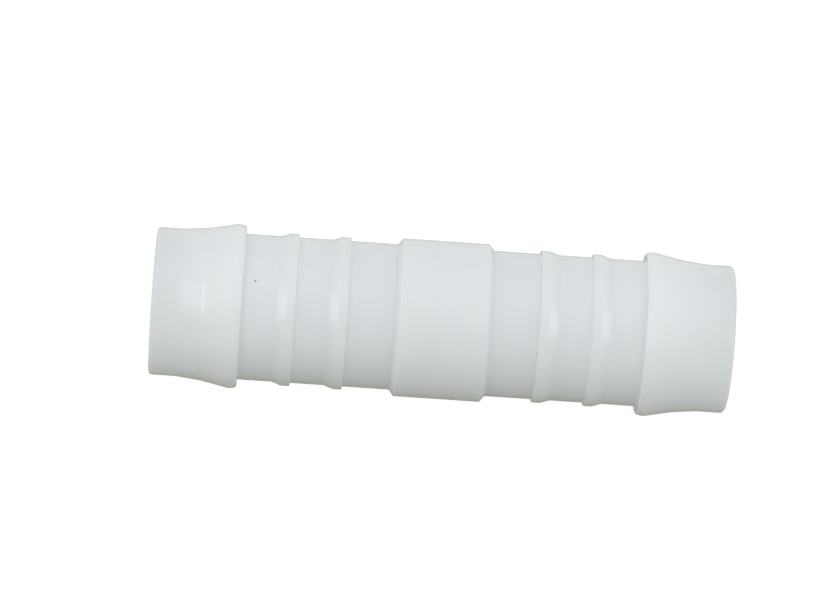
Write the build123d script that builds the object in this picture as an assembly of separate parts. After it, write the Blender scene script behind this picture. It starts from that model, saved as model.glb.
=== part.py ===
from build123d import *
import os

# A straight barbed coupling that joins two lengths of 25 mm bore hose, moulded in one piece from
# uncoloured plastic. A plain collar sits in the middle. Each side of it is a hose tail: a shank with
# two small ribs, then a large barbed head that narrows outwards in two tapers to a round nose. The flow
# bore is straight for most of its length and opens out in a long cone at each end, so the wall is
# thinnest at the noses. The axis lies along X, mid-length is at X = 0, and Z is up.

# Driving dimensions, in millimetres and degrees
TOTAL_LENGTH = 98.0
FLOW_BORE_DIAMETER = 20.0
MOUTH_DIAMETER = 23.2  # where the cone at each end of the bore meets the end face
MOUTH_DEPTH = 14.0  # length of that cone along the axis

COLLAR_DIAMETER = 26.8
COLLAR_LENGTH = 16.2  # from foot to foot, over both bevels
COLLAR_BEVEL = 0.75  # length of each bevel along the axis

SHANK_DIAMETER = 24.7
RIB_DIAMETER = 25.8
RIB_FACES = (16.15, 25.0)  # distance of each rib's steep face from mid-length
RIB_LAND = 1.5
RIB_RAMP = 1.6

HEAD_DIAMETER = 27.8
HEAD_LENGTH = 15.0  # from the head's steep back face to the end of the nose
BACK_EDGE_DIAMETER = 27.3  # where the bevel behind the crest meets the back face
CREST_BEVEL = 0.9  # length of that bevel along the axis
HEAD_LAND = 0.6
BREAK_DIAMETER = 25.9  # where the head's steeper taper gives way to the gentler one
LEAD_LENGTH = 4.2  # the gentler taper, from that break to the nose
NOSE_DIAMETER = 25.0
NOSE_LENGTH = 4.6

# Rounds left by the mould, in millimetres
NOSE_ROUND = 0.6
MOUTH_ROUND = 0.15
THROAT_ROUND = 3.0  # inside, where each end cone meets the straight bore
BREAK_ROUND = 12.0
LEAD_ROUND = 6.0  # where the gentler taper meets the nose
CREST_ROUND = 0.3
EDGE_ROUND = 0.15
FOOT_ROUND = 0.1
RUNOUT_ROUND = 0.4  # where a slope meets the shank or a land
COLLAR_ROUND = 0.35


def collar_corners():
    """Half of the collar: the bevel's edge and its foot, as (x, radius, corner round)."""
    foot = COLLAR_LENGTH / 2
    return [
        (foot - COLLAR_BEVEL, COLLAR_DIAMETER / 2, COLLAR_ROUND),
        (foot, SHANK_DIAMETER / 2, COLLAR_ROUND),
    ]


def rib_corners(face):
    """A small barb: a steep face towards the collar, a narrow land, and a ramp towards the end."""
    shank = SHANK_DIAMETER / 2
    rib = RIB_DIAMETER / 2
    return [
        (face, shank, FOOT_ROUND),
        (face, rib, EDGE_ROUND),
        (face + RIB_LAND, rib, RUNOUT_ROUND),
        (face + RIB_LAND + RIB_RAMP, shank, RUNOUT_ROUND),
    ]


def head_corners():
    """The large barb: back face, crest, two tapers and the nose, then the cone into the bore."""
    end = TOTAL_LENGTH / 2
    back_face = end - HEAD_LENGTH
    crest = HEAD_DIAMETER / 2
    land = back_face + CREST_BEVEL
    nose = NOSE_DIAMETER / 2
    nose_foot = end - NOSE_LENGTH
    return [
        (back_face, SHANK_DIAMETER / 2, FOOT_ROUND),
        (back_face, BACK_EDGE_DIAMETER / 2, CREST_ROUND),
        (land, crest, RUNOUT_ROUND),
        (land + HEAD_LAND, crest, RUNOUT_ROUND),
        (nose_foot - LEAD_LENGTH, BREAK_DIAMETER / 2, BREAK_ROUND),
        (nose_foot, nose, LEAD_ROUND),
        (end, nose, NOSE_ROUND),
        (end, MOUTH_DIAMETER / 2, MOUTH_ROUND),
        (end - MOUTH_DEPTH, FLOW_BORE_DIAMETER / 2, THROAT_ROUND),
    ]


def tail_corners():
    """One side's outline from the collar to the end of the straight bore."""
    corners = collar_corners()
    for face in RIB_FACES:
        corners += rib_corners(face)
    return corners + head_corners()


def coupling_body():
    """The whole moulding, turned about X from an outline that is the same on both sides."""
    right = tail_corners()
    left = [(-x, radius, corner_round) for x, radius, corner_round in reversed(right)]
    outline = left + right
    section = FilletPolyline(
        *[(x, 0, radius) for x, radius, _ in outline],
        radius=[corner_round for _, _, corner_round in outline],
        close=True,
    )
    return revolve(make_face(section), Axis.X, 360)


os.makedirs("parts", exist_ok=True)
export_step(coupling_body(), "parts/coupling_body.step")
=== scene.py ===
"""Looks of a straight barbed hose coupling in uncoloured plastic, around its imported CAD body."""
import math

import bpy
from mathutils import Matrix, Vector, noise


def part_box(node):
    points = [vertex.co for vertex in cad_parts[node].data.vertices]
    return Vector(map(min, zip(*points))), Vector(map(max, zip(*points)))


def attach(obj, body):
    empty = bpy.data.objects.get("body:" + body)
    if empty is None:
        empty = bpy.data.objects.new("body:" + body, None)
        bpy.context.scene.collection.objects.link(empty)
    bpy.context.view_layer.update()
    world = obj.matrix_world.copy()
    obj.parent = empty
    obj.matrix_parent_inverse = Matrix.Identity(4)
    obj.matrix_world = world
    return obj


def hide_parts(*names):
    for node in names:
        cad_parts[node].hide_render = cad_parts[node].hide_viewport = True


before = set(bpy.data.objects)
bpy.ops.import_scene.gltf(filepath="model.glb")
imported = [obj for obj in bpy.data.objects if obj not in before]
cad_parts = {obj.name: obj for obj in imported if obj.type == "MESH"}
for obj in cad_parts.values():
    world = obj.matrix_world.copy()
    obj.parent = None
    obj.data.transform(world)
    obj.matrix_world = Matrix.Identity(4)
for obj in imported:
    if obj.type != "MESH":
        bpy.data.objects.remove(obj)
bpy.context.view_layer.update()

MM = 0.001

# ---------------------------------------------------------------------------------------------
# Sizes of the coupling, in millimetres. Length and largest radius come from the frame.
# ---------------------------------------------------------------------------------------------
body_low, body_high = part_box("coupling_body")
END = body_high.x / MM
CREST_RADIUS = body_high.z / MM
BORE_RADIUS = 10.0
NOSE_RADIUS = 12.5
SHANK_RADIUS = 12.35
RIB_RADIUS = 12.9
COLLAR_RADIUS = 13.4
COLLAR_FOOT = 8.1
COLLAR_BEVEL = 0.75
RIB_FACES = (16.15, 25.0)
RIB_LAND = 1.5
RIB_RAMP = 1.6
HEAD_LENGTH = 15.0
BACK_EDGE_RADIUS = 13.65
CREST_BEVEL = 0.9
HEAD_LAND = 0.6
BREAK_RADIUS = 12.95
LEAD_LENGTH = 4.2
NOSE_LENGTH = 4.6
MOUTH_RADIUS = 11.6
MOUTH_DEPTH = 14.0

NOSE_ROUND = 0.6
MOUTH_ROUND = 0.15
THROAT_ROUND = 3.0
BREAK_ROUND = 12.0
LEAD_ROUND = 6.0
CREST_ROUND = 0.3
EDGE_ROUND = 0.15
FOOT_ROUND = 0.1
RUNOUT_ROUND = 0.4
COLLAR_ROUND = 0.35

# Marks that moulding leaves, in millimetres
SEAM_HEIGHT = 0.035
SEAM_HALF_WIDTH = 0.07
WITNESS_HEIGHT = 0.05
WITNESS_HALF_WIDTH = 0.12
WAVE_HEIGHT = 0.012
WAVE_LENGTH = 9.0

# How finely the mesh is divided, in millimetres and degrees
COLUMNS = 224  # around the axis, before the seams' own
ROW_STEP = 0.9
BORE_STEP = 2.5
HOLDING_STEP = 0.08  # from a round to the row that holds it crisp
SHORTEST_STRAIGHT = 3 * HOLDING_STEP
ARC_STEP = 15.0
FEWEST_ARC_STEPS = 3
SEAM_COLUMNS = (-2, -1, 1, 2)  # beside the seam's own column, in its half widths
WITNESS_ROWS = (-2, -1, -0.5, 0, 0.5, 1, 2)  # in the ring's half widths


def tail_corners():
    """One side's outline from the collar to the end of the straight bore, as (x, radius, round)."""
    corners = [
        (COLLAR_FOOT - COLLAR_BEVEL, COLLAR_RADIUS, COLLAR_ROUND),
        (COLLAR_FOOT, SHANK_RADIUS, COLLAR_ROUND),
    ]
    for face in RIB_FACES:
        corners += [
            (face, SHANK_RADIUS, FOOT_ROUND),
            (face, RIB_RADIUS, EDGE_ROUND),
            (face + RIB_LAND, RIB_RADIUS, RUNOUT_ROUND),
            (face + RIB_LAND + RIB_RAMP, SHANK_RADIUS, RUNOUT_ROUND),
        ]
    back = END - HEAD_LENGTH
    land = back + CREST_BEVEL
    nose_foot = END - NOSE_LENGTH
    corners += [
        (back, SHANK_RADIUS, FOOT_ROUND),
        (back, BACK_EDGE_RADIUS, CREST_ROUND),
        (land, CREST_RADIUS, RUNOUT_ROUND),
        (land + HEAD_LAND, CREST_RADIUS, RUNOUT_ROUND),
        (nose_foot - LEAD_LENGTH, BREAK_RADIUS, BREAK_ROUND),
        (nose_foot, NOSE_RADIUS, LEAD_ROUND),
        (END, NOSE_RADIUS, NOSE_ROUND),
        (END, MOUTH_RADIUS, MOUTH_ROUND),
        (END - MOUTH_DEPTH, BORE_RADIUS, THROAT_ROUND),
    ]
    return corners


def arc(before, corner, after, radius):
    """Points of the round at a corner, from one tangent point to the other."""
    to_before = (before - corner).normalized()
    to_after = (after - corner).normalized()
    half_angle = to_before.angle(to_after) / 2
    setback = radius / math.tan(half_angle)
    centre = corner + (to_before + to_after).normalized() * radius / math.sin(half_angle)
    start = corner + to_before * setback - centre
    end = corner + to_after * setback - centre
    turn = start.angle(end)
    steps = max(FEWEST_ARC_STEPS, math.ceil(math.degrees(turn) / ARC_STEP))
    points = []
    for i in range(steps + 1):
        share = i / steps
        weight_start = math.sin((1 - share) * turn) / math.sin(turn)
        weight_end = math.sin(share * turn) / math.sin(turn)
        points.append(centre + start * weight_start + end * weight_end)
    return points


def straight(start, end, step):
    """Points between two tangent points, with one close to each end to hold the rounds crisp."""
    length = (end - start).length
    if length < SHORTEST_STRAIGHT:
        return []
    inner = length - 2 * HOLDING_STEP
    count = max(1, round(inner / step))
    places = [HOLDING_STEP + inner * i / count for i in range(count + 1)]
    return [start.lerp(end, place / length) for place in places]


def outline():
    """The wall's closed outline as points (x, radius): left to right outside, back by the bore."""
    right = tail_corners()
    left = [(-x, radius, size) for x, radius, size in reversed(right)]
    corners = left + right
    points = [Vector((x, radius)) for x, radius, size in corners]
    arcs = []
    for i, (x, radius, size) in enumerate(corners):
        arcs.append(arc(points[i - 1], points[i], points[(i + 1) % len(points)], size))
    rows = []
    for i, points_here in enumerate(arcs):
        following = arcs[(i + 1) % len(arcs)][0]
        rows += points_here
        if max(points_here[-1].y, following.y) < BORE_RADIUS + EDGE_ROUND:
            rows += bore_rows(points_here[-1], following)
        else:
            rows += straight(points_here[-1], following, ROW_STEP)
    return rows


def bore_rows(start, end):
    """The bore's wall, with close rows at mid-length for the ring where the two cores met."""
    middle = start.lerp(end, 0.5)
    toward = (end - start).normalized()
    ring = [middle + toward * WITNESS_HALF_WIDTH * share for share in WITNESS_ROWS]
    first = straight(start, ring[0], BORE_STEP)[:-2]
    last = straight(ring[-1], end, BORE_STEP)[2:]
    return first + ring + last


def column_angles():
    """Angles around the axis from +Y, with extra columns that shape the two mould seams."""
    angles = [math.tau * i / COLUMNS for i in range(COLUMNS)]
    extra = [share * SEAM_HALF_WIDTH / NOSE_RADIUS for share in SEAM_COLUMNS]
    for seam in (0.0, math.pi):
        angles += [(seam + offset) % math.tau for offset in extra]
    return sorted(angles)


def bump(distance, half_width, height):
    """A smooth low ridge."""
    if abs(distance) >= half_width:
        return 0.0
    return height * 0.5 * (1 + math.cos(math.pi * distance / half_width))


def relief(x, radius, angle, on_outside):
    """How far the real surface stands from the ideal one, along its normal, in millimetres."""
    place = Vector((x, radius * math.cos(angle), radius * math.sin(angle)))
    height = WAVE_HEIGHT * noise.noise(place / WAVE_LENGTH)
    if on_outside:
        height += bump(radius * math.sin(angle), 2 * SEAM_HALF_WIDTH, SEAM_HEIGHT)
    else:
        height += bump(x, 2 * WITNESS_HALF_WIDTH, WITNESS_HEIGHT)
    return height


def lathe(name, rows, angles):
    """A closed mesh turned about X from the closed outline, with the moulding's small reliefs."""
    verts = []
    for i, point in enumerate(rows):
        run = rows[(i + 1) % len(rows)] - rows[i - 1]
        normal = Vector((-run.y, run.x)).normalized()
        on_outside = point.y > SHANK_RADIUS - EDGE_ROUND
        in_bore = point.y < MOUTH_RADIUS
        for angle in angles:
            place = point.copy()
            if on_outside or in_bore:
                place += normal * relief(point.x, point.y, angle, on_outside)
            verts.append((place.x * MM, place.y * math.cos(angle) * MM,
                          place.y * math.sin(angle) * MM))
    faces = []
    columns = len(angles)
    for i in range(len(rows)):
        this_row = i * columns
        next_row = (i + 1) % len(rows) * columns
        for j in range(columns):
            k = (j + 1) % columns
            faces.append((this_row + j, this_row + k, next_row + k, next_row + j))
    mesh = bpy.data.meshes.new(name)
    mesh.from_pydata(verts, [], faces)
    mesh.update()
    mesh.shade_smooth()
    piece = bpy.data.objects.new(name, mesh)
    bpy.context.scene.collection.objects.link(piece)
    return piece


# ---------------------------------------------------------------------------------------------
# The plastic
# ---------------------------------------------------------------------------------------------
MILK_PALE = (0.935, 0.955, 0.95, 1)
MILK_DEEP = (0.92, 0.942, 0.935, 1)
ROUGHNESS_RANGE = (0.16, 0.21)
REFRACTION_INDEX = 1.49
SCATTER_RADIUS = (1.0, 1.0, 0.9)
SCATTER_SCALE = 0.0036  # metres
SKIN_GRAIN = 0.003  # millimetres
SKIN_STRENGTH = 0.5

# Noise patterns: size in millimetres, and detail
BROAD_CLOUDS = (14.0, 3.0)
SMALL_CLOUDS = (0.9, 2.0)
SATIN_CLOUDS = (2.6, 3.0)
GRAIN = (0.7, 4.0)
WHOLE_RANGE = (0.3, 0.7)  # the noise values that clouds run between
PEAKS_RANGE = (0.55, 0.8)
PEAKS_SHARE = 0.5

# Foreign grains in the plastic: x, angle from +Z towards +Y, radius, size in millimetres, strength
SPECKS = (
    (-31.9, 21, 12.35, 0.27, 0.7),
    (34.1, -15, 13.65, 0.24, 0.2),
    (8.0, 8, 13.4, 0.24, 0.2),
)
SPECK_BROWN = (0.22, 0.11, 0.05, 1)

# Scar of the tunnel gate on the collar's underside: x, angle, radius, size in millimetres, strength
GATE_SPOT = (0.0, -165, 13.4, 0.75, 1.0)
GATE_TINT = (0.88, 0.9, 0.89, 1)
GATE_DEPTH = -12.0  # in grains
GATE_ROUGHER = 0.4
SPOT_CORE = 0.35  # share of a spot's size that has its full strength


def new_material(name):
    """A node material with one Principled shader: the material, its nodes and links, the shader."""
    material = bpy.data.materials.new(name)
    material.use_nodes = True
    tree = material.node_tree
    return material, tree.nodes, tree.links, tree.nodes["Principled BSDF"]


def smooth_range(nodes, links, value, low, high, to_low, to_high):
    """The value, taken smoothly from one range to another and held at its ends."""
    node = nodes.new("ShaderNodeMapRange")
    node.interpolation_type = "SMOOTHSTEP"
    limits = {"From Min": low, "From Max": high, "To Min": to_low, "To Max": to_high}
    for name, number in limits.items():
        node.inputs[name].default_value = number
    links.new(value, node.inputs["Value"])
    return node.outputs["Result"]


def natural_plastic():
    """Milky, slightly translucent plastic with no pigment: faint clouds, fine grain, satin skin."""
    material, nodes, links, shader = new_material("natural_plastic")
    place = nodes.new("ShaderNodeTexCoord").outputs["Object"]

    def cloud(size, detail):
        """Noise around 0.5, with features of about this size in millimetres."""
        node = nodes.new("ShaderNodeTexNoise")
        node.inputs["Scale"].default_value = 1 / (size * MM)
        node.inputs["Detail"].default_value = detail
        links.new(place, node.inputs["Vector"])
        return node.outputs[0]

    def ranged(value, *limits):
        return smooth_range(nodes, links, value, *limits)

    def multiply_add(value, factor, addend):
        node = nodes.new("ShaderNodeMath")
        node.operation = "MULTIPLY_ADD"
        links.new(value, node.inputs[0])
        node.inputs[1].default_value = factor
        links.new(addend, node.inputs[2])
        return node.outputs["Value"]

    def tinted(colour, share, tint):
        """The colour so far, mixed towards a tint where share is 1."""
        node = nodes.new("ShaderNodeMix")
        node.data_type = "RGBA"
        links.new(share, node.inputs["Factor"])
        if isinstance(colour, tuple):
            node.inputs[6].default_value = colour
        else:
            links.new(colour, node.inputs[6])
        node.inputs[7].default_value = tint
        return node.outputs[2]

    def around(x, angle, radius, size, strength):
        """A spot on the skin: strength at its middle, and 0 from its size outwards."""
        turn = math.radians(angle)
        node = nodes.new("ShaderNodeVectorMath")
        node.operation = "DISTANCE"
        links.new(place, node.inputs[0])
        middle = (x * MM, radius * math.sin(turn) * MM, radius * math.cos(turn) * MM)
        node.inputs[1].default_value = middle
        return ranged(node.outputs["Value"], size * SPOT_CORE * MM, size * MM, strength, 0.0)

    colour = tinted(MILK_DEEP, ranged(cloud(*BROAD_CLOUDS), *WHOLE_RANGE, 0.0, 1.0), MILK_PALE)
    peaks = ranged(cloud(*SMALL_CLOUDS), *PEAKS_RANGE, 0.0, PEAKS_SHARE)
    colour = tinted(colour, peaks, MILK_DEEP)
    for speck in SPECKS:
        colour = tinted(colour, around(*speck), SPECK_BROWN)
    gate = around(*GATE_SPOT)
    colour = tinted(colour, gate, GATE_TINT)
    links.new(colour, shader.inputs["Base Color"])

    satin = ranged(cloud(*SATIN_CLOUDS), *WHOLE_RANGE, *ROUGHNESS_RANGE)
    links.new(multiply_add(gate, GATE_ROUGHER, satin), shader.inputs["Roughness"])

    skin = nodes.new("ShaderNodeBump")
    skin.inputs["Strength"].default_value = SKIN_STRENGTH
    skin.inputs["Distance"].default_value = SKIN_GRAIN * MM
    links.new(multiply_add(gate, GATE_DEPTH, cloud(*GRAIN)), skin.inputs["Height"])
    links.new(skin.outputs["Normal"], shader.inputs["Normal"])

    shader.inputs["IOR"].default_value = REFRACTION_INDEX
    shader.inputs["Subsurface Weight"].default_value = 1.0
    shader.inputs["Subsurface Radius"].default_value = SCATTER_RADIUS
    shader.inputs["Subsurface Scale"].default_value = SCATTER_SCALE
    return material


# ---------------------------------------------------------------------------------------------
# The coupling
# ---------------------------------------------------------------------------------------------
coupling = lathe("coupling", outline(), column_angles())
coupling.data.materials.append(natural_plastic())
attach(coupling, "root")
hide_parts("coupling_body")


# ---------------------------------------------------------------------------------------------
# Studio
# ---------------------------------------------------------------------------------------------
FLOOR_RADIUS = 1.3
SWEEP_RADIUS = 0.7
SWEEP_STEPS = 12
SWEEP_COLUMNS = 64
WALL_HEIGHT = 1.6
FLOOR_GREY = (0.14, 0.14, 0.14, 1)
FLOOR_ROUGHNESS = 0.9
FLOOR_SHINE = 0.1
FLOOR_GLOW = 0.92
GLOW_FULL_BELOW = 0.12  # height in metres
GLOW_NONE_ABOVE = 0.4

# Radiance of the light tent, as red, green, blue. SIDES is the same all around. OVERHEAD is added
# per unit of the direction's Z, and FAR_SIDE per unit of its Y. ENDS takes over towards both ends
# of X. PAPER and LOW_FAR_SIDE are light that the paper sends back from below: all around, and from
# the +Y side.
TENT_SIDES = (0.17, 0.175, 0.125)
TENT_OVERHEAD = (0.345, 0.405, 0.43)
TENT_FAR_SIDE = (0.422, 0.443, 0.495)
TENT_ENDS = (0.80, 0.81, 0.86)
TENT_PAPER = (0.09, 0.09, 0.04)
TENT_LOW_FAR_SIDE = (0.8, 0.9, 0.82)

# Lamps: name, angles from straight above towards +X and +Y, angular width and length, radiance
SOFTBOXES = (
    ("strip_left", -19.3, 8, 3.2, 40, 5.6),
    ("softbox_left", -38, 8, 11, 40, 2.0),
    ("softbox_right", 42, 8, 11, 40, 2.1),
)
LAMP_COLOUR = (1.0, 0.97, 1.03)
LIGHT_DISTANCE = 1.1


def pale_floor():
    """Studio paper lit from behind, so it stays white: the glow fades out above the object."""
    material, nodes, links, shader = new_material("pale_floor")
    shader.inputs["Base Color"].default_value = FLOOR_GREY
    shader.inputs["Roughness"].default_value = FLOOR_ROUGHNESS
    shader.inputs["Specular IOR Level"].default_value = FLOOR_SHINE
    shader.inputs["Emission Color"].default_value = (1, 1, 1, 1)
    position = nodes.new("ShaderNodeNewGeometry")
    split = nodes.new("ShaderNodeSeparateXYZ")
    links.new(position.outputs["Position"], split.inputs["Vector"])
    height = split.outputs["Z"]
    glow = smooth_range(nodes, links, height, GLOW_FULL_BELOW, GLOW_NONE_ABOVE, FLOOR_GLOW, 0.0)
    links.new(glow, shader.inputs["Emission Strength"])
    return material


def studio_sweep():
    """A round floor that curves up into a wall, so that no view meets an edge."""
    floor_z = body_low.z
    rows = [Vector((0.0, floor_z)), Vector((FLOOR_RADIUS, floor_z))]
    for i in range(1, SWEEP_STEPS + 1):
        turn = math.radians(90) * i / SWEEP_STEPS
        out = FLOOR_RADIUS + SWEEP_RADIUS * math.sin(turn)
        rows.append(Vector((out, floor_z + SWEEP_RADIUS * (1 - math.cos(turn)))))
    rows.append(Vector((FLOOR_RADIUS + SWEEP_RADIUS, floor_z + WALL_HEIGHT)))
    columns = SWEEP_COLUMNS
    verts = [(0, 0, floor_z)]
    for row in rows[1:]:
        for j in range(columns):
            angle = math.tau * j / columns
            verts.append((row.x * math.cos(angle), row.x * math.sin(angle), row.y))
    faces = [(0, 1 + j, 1 + (j + 1) % columns) for j in range(columns)]
    for i in range(len(rows) - 2):
        start = 1 + i * columns
        for j in range(columns):
            k = (j + 1) % columns
            faces.append((start + j, start + columns + j, start + columns + k, start + k))
    mesh = bpy.data.meshes.new("studio_sweep")
    mesh.from_pydata(verts, [], faces)
    mesh.shade_smooth()
    sweep = bpy.data.objects.new("studio_sweep", mesh)
    bpy.context.scene.collection.objects.link(sweep)
    sweep.data.materials.append(pale_floor())
    for ray in ("diffuse", "glossy", "transmission", "shadow"):
        setattr(sweep, "visible_" + ray, False)


def softbox(name, left_right, towards_top, across, along, radiance):
    """A lamp that looks at the coupling, its long side along Y: one row of SOFTBOXES."""
    slopes = [math.tan(math.radians(angle)) for angle in (left_right, towards_top)]
    back = Vector((*slopes, 1)).normalized()
    right = Vector((0, 1, 0)).cross(back).normalized()
    turn = Matrix((right, back.cross(right), back)).transposed().to_4x4()
    data = bpy.data.lights.new(name, "AREA")
    data.shape = "RECTANGLE"
    data.size = 2 * LIGHT_DISTANCE * math.tan(math.radians(across / 2))
    data.size_y = 2 * LIGHT_DISTANCE * math.tan(math.radians(along / 2))
    data.energy = math.pi * data.size * data.size_y * radiance
    data.color = LAMP_COLOUR
    light = bpy.data.objects.new(name, data)
    light.matrix_world = Matrix.Translation(back * LIGHT_DISTANCE) @ turn
    bpy.context.scene.collection.objects.link(light)


def light_tent():
    """A white tent around the coupling: brighter overhead, towards +Y and at both ends of X."""
    world = bpy.data.worlds.new("light_tent")
    bpy.context.scene.world = world
    world.use_nodes = True
    nodes, links = world.node_tree.nodes, world.node_tree.links

    def math_node(operation, *inputs):
        node = nodes.new("ShaderNodeMath")
        node.operation = operation
        for socket, value in zip(node.inputs, inputs):
            if isinstance(value, float):
                socket.default_value = value
            else:
                links.new(value, socket)
        return node.outputs["Value"]

    def brighten(share, colour, light_so_far):
        """Adds a colour, times a share, to the light so far."""
        add = nodes.new("ShaderNodeVectorMath")
        add.operation = "MULTIPLY_ADD"
        links.new(share, add.inputs[0])
        add.inputs[1].default_value = colour
        if isinstance(light_so_far, tuple):
            add.inputs[2].default_value = light_so_far
        else:
            links.new(light_so_far, add.inputs[2])
        return add.outputs["Vector"]

    direction = nodes.new("ShaderNodeTexCoord")
    split = nodes.new("ShaderNodeSeparateXYZ")
    links.new(direction.outputs["Generated"], split.inputs["Vector"])
    upwards = math_node("MAXIMUM", split.outputs["Z"], 0.0)
    downwards = math_node("MAXIMUM", math_node("MULTIPLY", split.outputs["Z"], -1.0), 0.0)
    far_side = math_node("MAXIMUM", split.outputs["Y"], 0.0)
    along = math_node("MULTIPLY", split.outputs["X"], split.outputs["X"])
    around = brighten(upwards, TENT_OVERHEAD, TENT_SIDES)
    around = brighten(far_side, TENT_FAR_SIDE, around)
    tent = nodes.new("ShaderNodeMix")
    tent.data_type = "VECTOR"
    links.new(along, tent.inputs["Factor"])
    links.new(around, tent.inputs["A"])
    tent.inputs["B"].default_value = TENT_ENDS
    paper = math_node("MULTIPLY", downwards, downwards)
    low_far_side = math_node("MULTIPLY", far_side, paper)
    radiance = brighten(paper, TENT_PAPER, tent.outputs["Result"])
    radiance = brighten(low_far_side, TENT_LOW_FAR_SIDE, radiance)
    links.new(radiance, nodes["Background"].inputs["Color"])


def studio():
    """Floor, tent and lamps around the coupling."""
    studio_sweep()
    light_tent()
    for lamp in SOFTBOXES:
        softbox(*lamp)
    bpy.context.scene.view_settings.view_transform = "Standard"


# The camera looks almost straight down at the coupling, from a little to its left
CAMERA_HEIGHT = 0.775  # metres
CAMERA_X = -0.028  # metres
CAMERA_ROLL = 3.90  # degrees
LENS = 195.5  # focal length in millimetres
SENSOR_WIDTH = 36  # millimetres
CLIP_START = 0.01  # metres
CLIP_END = 20  # metres
AIM_LEFT = 3.61  # millimetres from the coupling's middle, in the picture
AIM_UP = 3.42  # millimetres


def camera():
    """The camera, rolled first and then aimed, so the coupling lies in the picture as set above."""
    data = bpy.data.cameras.new("camera")
    data.lens = LENS
    data.sensor_width = SENSOR_WIDTH
    data.clip_start = CLIP_START
    data.clip_end = CLIP_END
    cam = bpy.data.objects.new("camera", data)
    place = Vector((CAMERA_X, 0, CAMERA_HEIGHT))
    back = place.normalized()
    roll = math.radians(CAMERA_ROLL)
    up = Vector((-math.sin(roll), math.cos(roll), 0))
    right = up.cross(back).normalized()
    up = back.cross(right)
    aim = (up * AIM_UP - right * AIM_LEFT) * MM
    back = (place - aim).normalized()
    right = up.cross(back).normalized()
    up = back.cross(right)
    turn = Matrix((right, up, back)).transposed().to_4x4()
    cam.matrix_world = Matrix.Translation(place) @ turn
    bpy.context.scene.collection.objects.link(cam)
    bpy.context.scene.camera = cam


studio()
camera()

bpy.context.view_layer.update()
